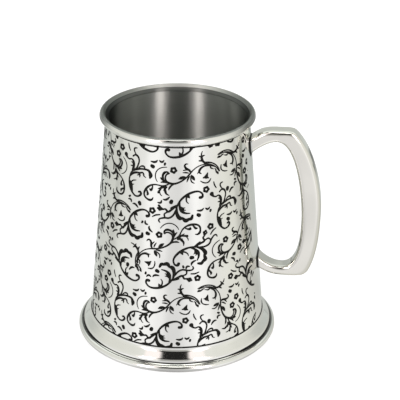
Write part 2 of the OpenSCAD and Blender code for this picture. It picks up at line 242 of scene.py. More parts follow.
LEAF = (
    # open curl with the leaf inside its bow
    ((11.1, 6.6, 1.1), (12.2, 6.9, 1), (12.1, 8.5, .7), (10.1, 9.7, .65), (7.6, 9.4, .8), (4.6, 7.8, .9),
     (2.1, 5.3, .8), (.6, 2.5, .65), (0, 0, .7)),
    ((4.6, 7.6, .8), (4.1, 5.5, .6), (4.6, 3.8, .5), (5.6, 3, .3)),
    ((4.4, 7.6, .8), (5, 6.7, 1.1), (5.7, 6, .4)),
    # scalloped outer leaf and the dark leaf in front of it
    ((0, .3, .7), (.4, -2.5, 1.1), (1.4, -4.5, 1.4), (2.6, -5.4, 1.5), (3.9, -5.3, 1), (5.5, -6.3, 1.5),
     (7.1, -5.4, 1.1), (8.3, -4.9, 1.2), (8.6, -3.2, .8)),
    ((1.1, 3.6, .5), (1.4, 1, .8), (2.6, -1.2, 1.2), (4.6, -2.3, .8), (7.1, -2.2, .4)),
    ((2, .6, .6), (2.7, -.4, 1.7), (3.4, -1.6, .9)),
    ((2.6, 0, .7), (4.2, .5, .3)),
    ((3, -.9, .7), (4.7, -.7, .3)),
    # tendrils
    ((-.1, 1, .9), (-1.9, -.2, .9), (-2.9, -.7, .5)),
    ((-.9, 0, .6), (-2.4, -1.5, .8), (-3.9, -2.9, .8), (-5.4, -1.7, .7), (-6.6, -2.1, .6)),
    ((-.1, -1.5, .7), (-1.1, -4.3, .7), (-2.9, -6.1, .7), (-5.4, -6.5, .7), (-7.6, -7.5, .6), (-7.9, -8.7, .6),
     (-7.2, -9.4, .4)),
    ((-4.4, -3.2, .6), (-5.6, -4.5, .6), (-5.1, -6.2, .6)),
    ((-7.2, -2, 1), (-8.4, -2, 1.9), (-9.3, -2, .8)),
    ((-11.5, -7.3, .4), (-9.9, -6, .6), (-7.9, -5.3, .5)),
)
DOTS = (
    ((-.35, .15, 1.25), (.3, -.1, 1.4)),
    ((-.3, .3, .9), (-.7, .8, .35)),
    ((-1.1, 2.4, .45), (.4, 2.4, .8), (1.5, 2.9, .75), (2, 3.7, .4)),
    ((3.2, 3.8, .5), (4.1, 3.3, .8), (4.9, 3.7, .7), (5.3, 4.4, .4)),
    ((6.1, 2.9, .85), (6, 2.2, .7)),
)
# Each motif, the centre of the ring flower that goes with it, and where it lies on the flat sheet: x, y, turn in
# degrees, mirrored
PLACES = (
    (SCROLL, (0, 0), ((63.5, 107, 0, False), (97.4, 71.3, 18, False), (61.3, 71.3, 73, True),
                      (107.7, 34.3, -22, True))),
    (FAN, (-8.6, 9.6), ((42.2, 101.4, 0, False), (91.2, 89.8, 6, False))),
    (LEAF, (-12, -4), ((67.9, 87.5, 0, False), (43.4, 71.6, 8, False), (81.5, 67.5, 82, True),
                       (40.2, 49.5, 193, True), (71.8, 49, 168, False))),
    (DOTS, None, ((52.7, 106.8, 0, False), (79.7, 84.7, 0, False), (97.4, 82.3, 0, False), (104.9, 42.3, -2, False),
                  (64.8, 90.2, 54, True), (48.6, 85.3, 140, False), (94.4, 98.6, -114, True), (55.3, 70.4, -31, True),
                  (79.7, 61.5, -147, False), (104.6, 62.8, 165, True), (63.2, 51.3, -178, False),
                  (46.2, 49.4, -122, True))),
)


# Shape helpers


def arc(cx, cz, r, start, end, n):
    """Points of an arc in the (radius, height) plane, angles in degrees"""
    return [(cx + r * math.cos(a), cz + r * math.sin(a))
            for a in (math.radians(start + (end - start) * i / n) for i in range(n + 1))]


def taper(b):
    return (b.base_r - b.top_r) / b.tall


def wall_out(b, z):
    """Outer radius of the wall at a height"""
    return b.base_r - (z - b.low) * taper(b)


def wall_in(b, z):
    """Inner radius of the wall at a height"""
    return wall_out(b, z) - b.wall * math.hypot(1, taper(b))


def floor_bend_centre(b):
    """Middle of the floor's bend, which touches the leaning wall"""
    z = b.low + b.floor_rise - b.floor_bend
    return wall_in(b, z) - b.floor_bend * math.hypot(1, taper(b)), z


def spin_profile(profile, turns, start=0.0, sweep=None):
    """Mesh of a closed (radius, height) outline spun round the axis, all round unless a sweep is given"""
    bm = bmesh.new()
    verts = [bm.verts.new((r, 0, z)) for r, z in profile]
    edges = [bm.edges.new(pair) for pair in zip(verts, verts[1:])]
    edges.append(bm.edges.new((verts[-1], verts[0])))
    if start:
        bmesh.ops.rotate(bm, verts=verts, cent=(0, 0, 0), matrix=Matrix.Rotation(start, 3, "Z"))
    bmesh.ops.spin(bm, geom=verts + edges, cent=(0, 0, 0), axis=(0, 0, 1), dvec=(0, 0, 0),
                   angle=sweep or math.tau, steps=turns, use_merge=sweep is None, use_normal_flip=False,
                   use_duplicate=False)
    bmesh.ops.remove_doubles(bm, verts=bm.verts, dist=1e-6)
    if sweep:
        bmesh.ops.holes_fill(bm, edges=[e for e in bm.edges if e.is_boundary], sides=0)
    return bm


def wrap_grid(bm, rows, columns, place):
    """Grid of rows by columns of points, each put at place(row, column)"""
    for v in bmesh.ops.create_grid(bm, x_segments=rows - 1, y_segments=columns - 1, size=1)["verts"]:
        i = round((v.co.x + 1) / 2 * (rows - 1))
        j = round((v.co.y + 1) / 2 * (columns - 1))
        v.co = place(i, j)


def finish_piece(context, bm, name, materials, nodes, sharp=30):
    """Closes a mesh, makes it an object that rides on the root body and stands for its CAD nodes"""
    bmesh.ops.remove_doubles(bm, verts=bm.verts, dist=1e-7)
    bmesh.ops.recalc_face_normals(bm, faces=bm.faces)
    for f in bm.faces:
        f.smooth = True
    for e in bm.edges:
        e.smooth = e.calc_face_angle(0) < math.radians(sharp)
    if not bm.faces:
        bm.free()
        raise RuntimeError(f"{name}: no faces were made")
    if any(e.is_boundary for e in bm.edges):
        bm.free()
        raise RuntimeError(f"{name}: the mesh isn't closed")
    mesh = bpy.data.meshes.new(name)
    bm.to_mesh(mesh)
    bm.free()
    obj = bpy.data.objects.new(name, mesh)
    for finish in materials:
        mesh.materials.append(bpy.data.materials[finish])
    context.scene.collection.objects.link(obj)
    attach(obj, "root")
    if nodes:
        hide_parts(*nodes)


# Node helpers


class Net:
    """Short ways to add and join nodes of one tree"""

    def __init__(self, tree):
        self.tree = tree

    def add(self, kind, **values):
        node = self.tree.nodes.new(kind)
        for key, value in values.items():
            setattr(node, key, value)
        return node

    def join(self, source, target):
        self.tree.links.new(source, target)

    def put(self, socket, value):
        if isinstance(value, bpy.types.NodeSocket):
            self.join(value, socket)
        else:
            socket.default_value = value

    def fed(self, node, *values):
        """Node whose first inputs are set or joined"""
        for socket, value in zip(node.inputs, values):
            self.put(socket, value)
        return node

    def math(self, operation, *values):
        return self.fed(self.add("ShaderNodeMath", operation=operation), *values).outputs[0]

    def times(self, a, b):
        return self.math("MULTIPLY", a, b)

    def vector(self, operation, *values):
        node = self.fed(self.add("ShaderNodeVectorMath", operation=operation), *values)
        return node.outputs["Value" if operation in ("LENGTH", "DOT_PRODUCT") else "Vector"]

    def split(self, vector):
        """Sockets X, Y and Z of a vector"""
        return self.fed(self.add("ShaderNodeSeparateXYZ"), vector).outputs

    def ramp(self, value, low, high, to_low=0.0, to_high=1.0, shape="SMOOTHSTEP"):
        """Step of a value between two places, smooth unless another shape is given"""
        node = self.add("ShaderNodeMapRange", interpolation_type=shape)
        return self.fed(node, value, low, high, to_low, to_high).outputs[0]

    def between(self, kind, first, factor, a, b):
        node = self.add("ShaderNodeMix", data_type=kind)
        self.put(node.inputs["Factor"], factor)
        self.put(node.inputs[first], a)
        self.put(node.inputs[first + 1], b)
        return node.outputs

    def mix(self, factor, a, b):
        """Colour between two colours"""
        return self.between("RGBA", 6, factor, a, b)[2]

    def blend(self, factor, a, b):
        """Value between two values"""
        return self.between("FLOAT", 2, factor, a, b)[0]

    def layer(self, factor, a, b):
        """Shader between two shaders"""
        return self.fed(self.add("ShaderNodeMixShader"), factor, a, b).outputs[0]

    def noise(self, vector, scale, detail=3.0, rough=0.5):
        node = self.add("ShaderNodeTexNoise")
        for label, value in (("Vector", vector), ("Scale", scale), ("Detail", detail), ("Roughness", rough)):
            self.put(node.inputs[label], value)
        return node.outputs["Fac"]

    def stretch(self, vector, scale):
        node = self.add("ShaderNodeMapping")
        self.put(node.inputs["Vector"], vector)
        self.put(node.inputs["Scale"], scale)
        return node.outputs["Vector"]

    def level(self, vector):
        """Vector laid flat, without its height"""
        return self.stretch(vector, (1, 1, 0))

    def bump(self, height, strength, distance):
        node = self.add("ShaderNodeBump")
        for label, value in (("Strength", strength), ("Distance", distance), ("Height", height)):
            self.put(node.inputs[label], value)
        return node.outputs["Normal"]

    def grouped(self, name, vector):
        """Outputs of a node group that is fed with a vector"""
        return self.fed(self.add("ShaderNodeGroup", node_tree=bpy.data.node_groups[name]), vector).outputs


def new_group(name, given, outputs, kind="NodeSocketFloat"):
    """Net, input and outputs of a new node group with one vector input"""
    net = Net(bpy.data.node_groups.new(name, "ShaderNodeTree"))
    net.tree.interface.new_socket(given, in_out="INPUT", socket_type="NodeSocketVector")
    for label in outputs:
        net.tree.interface.new_socket(label, in_out="OUTPUT", socket_type=kind)
    return net, net.add("NodeGroupInput").outputs[given], net.add("NodeGroupOutput").inputs


def new_material(name):
    """Empty material, its net, its surface socket and the object's own coordinates"""
    mat = bpy.data.materials.new(name)
    mat.use_nodes = True
    mat.node_tree.nodes.clear()
    net = Net(mat.node_tree)
    surface = net.add("ShaderNodeOutputMaterial").inputs["Surface"]
    return mat, net, surface, net.add("ShaderNodeTexCoord").outputs["Object"]


def new_shader(name):
    """Net, coordinates and shader inputs of a new material with one Principled shader"""
    _, net, surface, where = new_material(name)
    shader = net.add("ShaderNodeBsdfPrincipled")
    net.join(shader.outputs[0], surface)
    return net, where, shader.inputs


def rgba(c, level=1.0):
    return (c[0] * level, c[1] * level, c[2] * level, 1.0)


# Finishes


def polish_group():
    """Wear of a polished surface: cloudy tone, faint haze and hair-fine rubbing marks"""
    net, where, out = new_group("polish_wear", "Position", ("Tone", "Haze", "Height"))
    cloud = net.noise(where, 45, 3)
    hairs = net.noise(net.stretch(where, (1, 1, 14)), 520, 2, 0.6)
    marks = net.ramp(net.noise(net.stretch(where, (9, 9, 1)), 300, 2, 0.7), 0.58, 0.74)
    net.join(net.ramp(cloud, 0.3, 0.7), out["Tone"])
    net.join(net.math("ADD", net.times(cloud, 0.7), net.times(marks, 0.3)), out["Haze"])
    net.join(net.math("ADD", net.times(hairs, 0.5), cloud), out["Height"])


# Heights of the painted shade in a recess, a dark band where shade and dark reflections fall: middle, half width in
# front and at the sides, in millimetres
RECESS_SHADE_BANDS = ((11.6, 0.42, 0.42), (4.35, 0.34, 0.78), (121.05, 0.48, 0.48))
# Distances to either side between which the front turns into the sides, in metres
RECESS_SHADE_SIDES = (0.028, 0.044)
# Colour of that painted shade as a share of the metal's, and its roughness
RECESS_SHADE_TONE, RECESS_SHADE_ROUGH = 0.03, 0.5


def recess_shade_group():
    """Painted shade in the recesses at the foot's top edge, in the foot's groove and under the rim, patchy"""
    net, where, out = new_group("recess_painted_shade", "Position", ("PaintedShade",))
    x, _, z = net.split(where)
    sideways = net.ramp(net.math("ABSOLUTE", x), *RECESS_SHADE_SIDES)
    found = 0.0
    for middle, front, flank in RECESS_SHADE_BANDS:
        off = net.math("ABSOLUTE", net.math("SUBTRACT", z, middle * MM))
        half = net.blend(sideways, front * MM, flank * MM)
        found = net.math("MAXIMUM", found, net.ramp(net.math("DIVIDE", off, half), 1.0, 0.8))
    net.join(net.times(found, net.ramp(net.noise(where, 220, 2), 0.1, 0.45, 0.75, 1.0)), out["PaintedShade"])


def off_wall_group(b):
    """Distance of a place from the wall's outer face"""
    net, where, out = new_group("off_the_wall", "Position", ("Distance",))
    lean = net.times(net.math("SUBTRACT", net.split(where)["Z"], b.low), -taper(b))
    reach = net.vector("LENGTH", net.level(where))
    net.join(net.math("SUBTRACT", reach, net.math("ADD", lean, b.base_r)), out["Distance"])


# Where the satin's painted light and shade set in, from none to full, in metres: heights, distances from the axis, and
# places across from the camera's side (-Y) to the far side
DEEP_LIGHT_HEIGHT = (0.112, 0.07)
MOUTH_SHADE_HEIGHT = (0.1222, 0.1231)
INSIDE_HEIGHT = (0.1234, 0.123)
INSIDE_REACH = (0.0374, 0.0371)
FLANK_SHADE_ACROSS = (0.024, 0.003)
FAR_LIGHT_ACROSS = (0.024, 0.036)
# Those painted shades as shares of the satin's colour
MOUTH_SHADE_TONE, FLANK_SHADE_TONE = 0.29, 0.19


def turned_lines_and_painted_light_group():
    """Fine turning lines round the axis, and where the satin's painted light and shade set in: the painted dark band
    inside the mouth, painted light in the inside's depth, painted shade on its near flanks, and painted light on the
    rim's far side"""
    net, where, out = new_group("turned_lines_and_painted_light", "Position", ("Tone", "Height", "MouthShade", "DeepLight", "FlankShade", "FarLight"))
    lines = net.noise(net.stretch(where, (1, 1, 60)), 60, 4, 0.65)
    cloud = net.noise(where, 30, 3)
    net.join(net.math("ADD", net.times(lines, 0.6), net.times(cloud, 0.4)), out["Tone"])
    net.join(lines, out["Height"])
    _, y, z = net.split(where)
    narrow = net.ramp(net.vector("LENGTH", net.level(where)), *INSIDE_REACH)
    inside = net.math("MAXIMUM", narrow, net.ramp(z, *INSIDE_HEIGHT))
    # Masks of painted light deep down and far back, and of painted shade inside the mouth and on the near flanks
    net.join(net.ramp(z, *DEEP_LIGHT_HEIGHT), out["DeepLight"])
    net.join(net.times(net.ramp(z, *MOUTH_SHADE_HEIGHT), narrow), out["MouthShade"])
    net.join(net.times(net.ramp(y, *FLANK_SHADE_ACROSS), inside), out["FlankShade"])
    net.join(net.times(net.ramp(y, *FAR_LIGHT_ACROSS), net.math("SUBTRACT", 1.0, inside)), out["FarLight"])


# Heights between which painted shade darkens the handle towards its bottom, and places where painted shade darkens the
# rim's crown, all but its front, from the front back and upwards
HANDLE_SHADE_HEIGHT = (0.105, 0.06)
CROWN_SHADE_ACROSS, CROWN_SHADE_HEIGHT = (-0.03, -0.014), (0.1232, 0.1242)


def lower_handle_shade(net, where):
    return net.ramp(net.split(where)["Z"], *HANDLE_SHADE_HEIGHT)


def rim_crown_shade(net, where):
    _, y, z = net.split(where)
    return net.times(net.ramp(y, *CROWN_SHADE_ACROSS), net.ramp(z, *CROWN_SHADE_HEIGHT))


def polished(name, base, haze, bump, shade=0.93, joint_shade_reach=None, painted_shade_mask=None, painted_shade_tone=1.0):
    """Polished metal with cloud, haze and rubbing, painted shade in recesses and in the crease along a joint to the
    wall, and painted shade over a place that a mask gives"""
    net, where, shader = new_shader(name)
    wear = net.grouped("polish_wear", where)
    hollow_shade = net.grouped("recess_painted_shade", where)["PaintedShade"]
    if joint_shade_reach:
        # Painted shade in the crease near the wall, where the solder meets it
        off = net.grouped("off_the_wall", where)["Distance"]
        hollow_shade = net.math("MAXIMUM", hollow_shade, net.ramp(off, joint_shade_reach, joint_shade_reach * 0.5))
    tone = net.mix(wear["Tone"], rgba(base, shade), rgba(base))
    # Painted shade over the place that the mask gives
    if painted_shade_mask:
        tone = net.mix(painted_shade_mask(net, where), tone, rgba(base, painted_shade_tone))
    # The colour darkens to painted shade in the recesses and along the joint to the wall
    net.join(net.mix(hollow_shade, tone, rgba(base, RECESS_SHADE_TONE)), shader["Base Color"])
    net.join(net.blend(hollow_shade, net.blend(wear["Haze"], *haze), RECESS_SHADE_ROUGH), shader["Roughness"])
    shader["Metallic"].default_value = 1.0
    net.join(net.bump(wear["Height"], bump, 0.1 * MM), shader["Normal"])


def satin(name, base, haze, bump, drawn, far=1.6):
    """Turned metal left satin, its highlights drawn out across the turning lines, with painted light deep down and far
    back and painted shade inside the mouth and on the near flanks"""
    net, where, shader = new_shader(name)
    lines = net.grouped("turned_lines_and_painted_light", where)
    tone = net.mix(lines["Tone"], rgba(base, 0.8), rgba(base, 1.15))
    # Painted light deep down and far back, then painted shade inside the mouth and on the near flanks
    tone = net.mix(net.math("MAXIMUM", lines["DeepLight"], lines["FarLight"]), tone, rgba(base, far))
    tone = net.mix(lines["MouthShade"], tone, rgba(base, MOUTH_SHADE_TONE))
    net.join(net.mix(lines["FlankShade"], tone, rgba(base, FLANK_SHADE_TONE)), shader["Base Color"])
    net.join(net.blend(lines["Tone"], haze - 0.05, haze + 0.05), shader["Roughness"])
    shader["Metallic"].default_value = 1.0
    shader["Anisotropic"].default_value = drawn
    shader["Specular Tint"].default_value = (0.4, 0.4, 0.4, 1)
    net.join(net.vector("ADD", net.vector("NORMALIZE", net.level(where)), (0, 0, 1)), shader["Tangent"])
    net.join(net.bump(lines["Height"], bump, 0.2 * MM), shader["Normal"])


def fill_material(base):
    """Black filling, slightly mottled"""
    net, where, shader = new_shader("scroll_fill")
    grain = net.noise(where, 900, 3)
    net.join(net.mix(grain, rgba(base, 0.6), rgba(base, 2.2)), shader["Base Color"])
    net.join(net.blend(grain, 0.38, 0.55), shader["Roughness"])
    shader["Specular IOR Level"].default_value = 0.04


# Operators


class TANKARD_OT_finishes(bpy.types.Operator):
    """Make the finishes of the pewter, the solder and the black fill"""

    bl_idname = "tankard.finishes"
    bl_label = "Finishes"

    def execute(self, context):
        c = context.scene.tankard_colours
        polish_group()
        recess_shade_group()
        off_wall_group(context.scene.tankard_body)
        turned_lines_and_painted_light_group()
        polished("pewter_bright", c.bright, (0.05, 0.12), 0.05)
        # The rim's crown gets painted shade everywhere but at its front
        polished("rim_bright", c.bright, (0.05, 0.12), 0.05, painted_shade_mask=rim_crown_shade, painted_shade_tone=0.3)
        # The handle gets painted shade towards its bottom
        polished("handle_bright", c.cast, (0.05, 0.11), 0.06, painted_shade_mask=lower_handle_shade, painted_shade_tone=0.78)
        polished("solder_bright", c.solder, (0.14, 0.26), 0.05, shade=0.85)
        # Painted shade along the roots' joint to the wall, within 1 mm of it
        polished("root_solder", c.solder, (0.18, 0.3), 0.05, shade=0.85, joint_shade_reach=1.0 * MM)
        satin("inside_satin", rgba(c.satin, 1.1), 0.38, 0.06, 1.0)
        # The rim's satin top is a darker copy of the satin, painted shade, with painted light on its far side
        satin("rim_satin", rgba(c.satin, 0.62), 0.45, 0.1, 0.0, far=1.5)
        fill_material(c.fill)
        return {"FINISHED"}


# Rows of faces up the wall, steps of the rim's solder, and rings of the handle that its solder can reach
WALL_ROWS, RIM_SOLDER_STEPS, ROOT_RINGS = 24, 8, 24
# How near the wall's top has to be to that of the CAD wall
CAD_NEAR = 0.2 * MM


class TANKARD_OT_body(bpy.types.Operator):
    """Roll the tapered wall, close its side seam and set the floor in it"""

    bl_idname = "tankard.body"
    bl_label = "Body and floor"

    def execute(self, context):
        b = context.scene.tankard_body
        top = b.low + b.tall
        rows = [b.low + b.tall * i / WALL_ROWS for i in range(WALL_ROWS + 1)]
        profile = [(wall_out(b, z), z) for z in rows] + [(wall_in(b, z), z) for z in reversed(rows)]
        half = b.seam / 2 / (b.base_r + b.top_r) * 2
        wall = spin_profile(profile, b.turns, half, math.tau - 2 * half)
        seam = spin_profile(profile, 2, -half, 2 * half)
        for bm, name, node, slot in ((wall, "body_wall_polished", "body_wall", "pewter"),
                                     (seam, "side_seam", "side_seam_solder", "solder")):
            bmesh.ops.recalc_face_normals(bm, faces=bm.faces)
            for f in bm.faces:
                middle = f.calc_center_median()
                if f.normal.x * middle.x + f.normal.y * middle.y < -0.5 * math.hypot(middle.x, middle.y):
                    f.material_index = 1
            finish_piece(context, bm, name, ["pewter_bright", "inside_satin"], [node])
        floor_z = b.low + b.floor_rise
        lean = math.degrees(math.atan(taper(b)))
        cx, cz = floor_bend_centre(b)
        under = floor_z - b.wall
        disc = [(0, under), (0, floor_z), (cx * 0.35, floor_z), (cx * 0.7, floor_z)]
        disc += arc(cx, cz, b.floor_bend, 90, lean, 10)
        disc += [(wall_in(b, b.low), b.low), (wall_in(b, b.low) - b.wall, b.low), (wall_in(b, under) - b.wall, under)]
        finish_piece(context, spin_profile(disc, b.turns), "floor_disc_satin", ["inside_satin"], ["floor_disc"])
        line = arc(cx, cz, b.floor_bend, lean, 90, 10)
        line.append((wall_in(b, floor_z + b.fillet), floor_z + b.fillet))
        finish_piece(context, spin_profile(line, b.turns), "floor_solder_line", ["solder_bright"],
                     ["floor_solder"])
        if abs(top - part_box("body_wall")[1].z) > CAD_NEAR:
            raise RuntimeError("the wall doesn't end where the CAD wall ends")
        return {"FINISHED"}


class TANKARD_OT_rim(bpy.types.Operator):
    """Turn the rim's bead and its line of solder"""

    bl_idname = "tankard.rim"
    bl_label = "Rim"

    def execute(self, context):
        b = context.scene.tankard_body
        top = b.low + b.tall
        low = top - b.rim_grip
        mouth = wall_in(b, top)
        cx, cz = b.top_r + b.rim_out - b.rim_r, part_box("rim")[1].z - b.rim_r
        crown = arc(cx, cz, b.rim_r, 90, -65, 36)
        edge = (mouth + b.rim_flare, top + b.rim_flare_h)
        slope = [(edge[0] + (crown[0][0] - edge[0]) * t, edge[1] + (crown[0][1] - edge[1]) * t) for t in (0.33, 0.67)]
        profile = [(mouth, top), edge] + slope + crown
        profile += [(wall_out(b, low) + b.rim_flat, low), (wall_out(b, low), low), (b.top_r, top)]
        bm = spin_profile(profile, b.turns)
        bmesh.ops.recalc_face_normals(bm, faces=bm.faces)
        for f in bm.faces:
            middle = f.calc_center_median()
            reach = math.hypot(middle.x, middle.y)
            if reach < cx + b.rim_satin and middle.z > top - 0.1 * MM:
                f.material_index = 2 if reach < edge[0] else 1
        finish_piece(context, bm, "rim_turned", ["rim_bright", "rim_satin", "inside_satin"], ["rim"])
        line = [(wall_out(b, low), low)]
        for i in range(RIM_SOLDER_STEPS + 1):
            t = i / RIM_SOLDER_STEPS
            z = low - b.fillet * t
            line.append((wall_out(b, z) + b.fillet * (1 - math.sqrt(1 - (1 - t) ** 2)), z))
        finish_piece(context, spin_profile(line, b.turns), "rim_solder_line", ["solder_bright"],
                     ["rim_solder"], 60)
        return {"FINISHED"}


class TANKARD_OT_foot(bpy.types.Operator):
    """Spin the moulded foot and its hidden ring of solder"""

    bl_idname = "tankard.foot"
    bl_label = "Foot"

    def execute(self, context):
        b, f = context.scene.tankard_body, context.scene.tankard_foot
        diag = math.sqrt(0.5)
        lip_body = wall_out(b, f.top)
        lip = lip_body + f.lip
        skirt = lip_body + f.skirt_out
        outer = skirt + f.bead_out
        groove = 2 * f.bead_r + f.groove_w
        cove_z = f.top - f.lip_h
        reach = lip + f.cove_r * (1 - diag) + cove_z - f.cove_r * diag - f.sheet / diag
        contact = (reach - wall_out(b, 0)) / (1 - taper(b))
        round_c = (skirt - f.ovolo_r, groove)
        profile = [(lip_body, f.top), (lip, f.top)]
        profile += arc(lip + f.cove_r, cove_z, f.cove_r, 180, 225, 18)
        profile += arc(*round_c, f.ovolo_r, 45, 0, 18)
        profile += [(skirt - f.groove_d, groove - f.groove_w / 2)]
        profile += arc(outer - f.bead_r, f.bead_r, f.bead_r, 100, -90, 40)
        profile += [(skirt - f.sheet, 0)]
        profile += arc(*round_c, f.ovolo_r - f.sheet, 0, 45, 10)
        profile += [(wall_out(b, contact), contact)]
        finish_piece(context, spin_profile(profile, b.turns), "foot_spun", ["pewter_bright"], ["foot"])
        low = contact - b.fillet
        line = [(wall_out(b, contact), contact), (reach - low, low), (wall_out(b, low), low)]
        finish_piece(context, spin_profile(line, b.turns), "foot_solder_line", ["solder_bright"],
                     ["foot_solder"])
        return {"FINISHED"}


def handle_lines(b, h):
    """Points of the handle's two side outlines, from the upper root round to the lower root, drawn through knots
    (x, z, heading)"""
    upper, lower = h.top - h.root_drop, h.low + h.root_rise
    shoulder, heel = h.reach - h.shoulder_set, h.reach - h.heel_set
    grip = h.low + h.grip_rise
    sr, hr, half = h.shoulder_round, h.heel_round, h.root_h / 2

    def root(z, heading):
        return (wall_out(b, z) - h.root_in, z, heading)

    outer = [root(upper + half, 38), (shoulder - h.arm_flat, h.top, 0), (shoulder - sr, h.top - sr / 8, -11),
             (shoulder + sr, h.top - sr * 1.5, -48), (h.reach, grip, -90), (heel + hr, h.low + hr * 2, -116),
             (heel - hr, h.low + hr / 3, -170), (heel - h.heel_flat, h.low, -180), root(lower - half, -212)]
    inner = [root(upper - half, 48), (shoulder - h.arch_in, h.top - h.upper_arm, 0),
             (h.reach - h.grip, grip - h.grip_lag, -90), (heel - h.hollow_in, h.low + h.lower_arm, -180),
             root(lower + half, -236)]
    outer_pull = ((.5, .42), (.36, .45), (.25, .5), (.27, .33), (.35, .28), (.3, .3), (.33, .33), (.4, .46))
    inner_pull = ((.27, .28), (.24, .24), (.52, .28), (.36, .32))
    return (outline(outer, (14, 4, 8, 48, 42, 8, 10, 14), outer_pull), outline(inner, (14, 60, 60, 14), inner_pull))


def outline(knots, steps, pulls):
    """Smooth line through knots, each span a cubic drawn by the headings of its ends"""
    points = []
    for (x, z, a), (u, w, c), n, (pa, pc) in zip(knots, knots[1:], steps, pulls):
        p, q = Vector((x, z)), Vector((u, w))
        span = (q - p).length
        a, c = math.radians(a), math.radians(c)
        ca = p + span * pa * Vector((math.cos(a), math.sin(a)))
        cc = q - span * pc * Vector((math.cos(c), math.sin(c)))
        for i in range(1 if points else 0, n + 1):
            t = i / n
            points.append((1 - t) ** 3 * p + 3 * t * (1 - t) ** 2 * ca + 3 * t * t * (1 - t) * cc + t ** 3 * q)
    return points


def handle_section(h, depth, rounds=8, flats=6):
    """Rounded rectangle as (along its depth, across its width) places with their outward directions"""
    points = []
    for sd, sw, start in ((1, 1, 0), (-1, 1, 90), (-1, -1, 180), (1, -1, 270)):
        corner = []
        for i in range(rounds + 1):
            a = math.radians(start + 90 * i / rounds)
            n = Vector((math.cos(a), math.sin(a)))
            corner.append((Vector((sd * (depth / 2 - h.edge), sw * (h.width / 2 - h.edge))) + h.edge * n, n))
        if points:
            points += flat_between(points[-1], corner[0], flats)
        points += corner
    return points + flat_between(points[-1], points[0], flats)


def flat_between(p, q, n):
    return [(p[0].lerp(q[0], i / n), p[1]) for i in range(1, n)]


def handle_rings(b, h):
    """Rings of the handle's sections put in space, from root to root"""
    rings = []
    for o, i in zip(*handle_lines(b, h)):
        m, u = (o + i) / 2, (o - i).normalized()
        rings.append([Vector((m.x + u.x * s.x, s.y, m.y + u.y * s.x)) for s, _ in handle_section(h, (o - i).length)])
    return rings


def on_wall(b, p, sink):
    """Point of the wall's face at the height and angle of p, sunk in by a depth"""
    s = (wall_out(b, p.z) - sink) / math.hypot(p.x, p.y)
    return Vector((p.x * s, p.y * s, p.z))


def along_handle(rings, k, leg):
    """Point at a length along the handle, on the line of section point k"""
    for a, c in zip(rings, rings[1:]):
        step = (c[k] - a[k]).length
        if leg <= step:
            return a[k].lerp(c[k], leg / step)
        leg -= step
    return rings[-1][k]


# How far the roots' solder and its thin edge lie in the wall, and how full it is, from hollow (0) to straight (1)
SOLDER_SINK, SOLDER_EDGE_SINK, SOLDER_FULLNESS = 0.5 * MM, 0.08 * MM, 0.4


class TANKARD_OT_handle(bpy.types.Operator):
    """Cast the handle and lay the solder round its two roots"""

    bl_idname = "tankard.handle"
    bl_label = "Handle"

    def execute(self, context):
        b, h = context.scene.tankard_body, context.scene.tankard_handle
        rings = handle_rings(b, h)
        n = len(rings[0])
        bm = bmesh.new()
        wrap_grid(bm, len(rings), n + 1, lambda i, k: rings[i][k % n])
        bmesh.ops.remove_doubles(bm, verts=bm.verts, dist=1e-7)
        bmesh.ops.holes_fill(bm, edges=[e for e in bm.edges if e.is_boundary], sides=0)
        finish_piece(context, bm, "handle_cast", ["handle_bright"], ["handle"], 50)
        normals = [s[1] for s in handle_section(h, h.root_h)]
        self.fillet(context, rings[:ROOT_RINGS], normals, 1, "upper")
        self.fillet(context, rings[::-1][:ROOT_RINGS], normals, -1, "lower")
        return {"FINISHED"}

    def fillet(self, context, rings, normals, up, name):
        """Hollow solder from the wall to the handle, round one root"""
        b, h = context.scene.tankard_body, context.scene.tankard_handle
        loops, steps = [], 10
        for k, n in enumerate(normals):
            start, high = rings[0][k], along_handle(rings, k, h.root_in + h.leg)
            foot = on_wall(b, start, 0)
            edge = on_wall(b, foot + h.fillet * Vector((0, n.y, up * n.x)), SOLDER_EDGE_SINK)
            pull = (1 - SOLDER_FULLNESS) * foot + SOLDER_FULLNESS * (edge + high) / 2
            loop = [on_wall(b, start, SOLDER_SINK), on_wall(b, edge, SOLDER_SINK)]
            for i in range(steps + 1):
                s = i / steps
                loop.append((1 - s) ** 2 * edge + 2 * s * (1 - s) * pull + s * s * high)
            loops.append(loop)
        bm = bmesh.new()
        wrap_grid(bm, len(loops) + 1, len(loops[0]) + 1, lambda i, j: loops[i % len(loops)][j % len(loops[0])])
        finish_piece(context, bm, f"handle_{name}_fillet", ["root_solder"], [f"handle_{name}_solder"], 60)


# Sizes on the flat sheet, in millimetres: thinnest stroke, and the ring flower's radius, ring and share of its lobes
THINNEST = 0.22
FLOWER_R, FLOWER_RING, FLOWER_LOBES = 1.8, 1.2, 0.1
# Places along a stroke's round end, as shares of half its width
ROUND_END = (1.0, 0.8, 0.45)
# Repeats of the pattern across and up, and how far a motif reaches from its origin, in millimetres
REPEATS_ACROSS, REPEATS_UP, MOTIF_REACH = range(-3, 2), range(-1, 2), 26


def smooth_line(knots, step):
    """Centre line and width through a stroke's knots, sampled evenly"""
    pts = [Vector(k) for k in knots]
    pts = [2 * pts[0] - pts[1]] + pts + [2 * pts[-1] - pts[-2]]
    line = []
    for p, q, r, s in zip(pts, pts[1:], pts[2:], pts[3:]):
        n = max(2, math.ceil((r.xy - q.xy).length / step))
        for i in range(1 if line else 0, n + 1):
            t = i / n
            line.append(0.5 * (2 * q + (r - p) * t + (2 * p - 5 * q + 4 * r - s) * t * t
                               + (3 * q - p - 3 * r + s) * t ** 3))
    return line


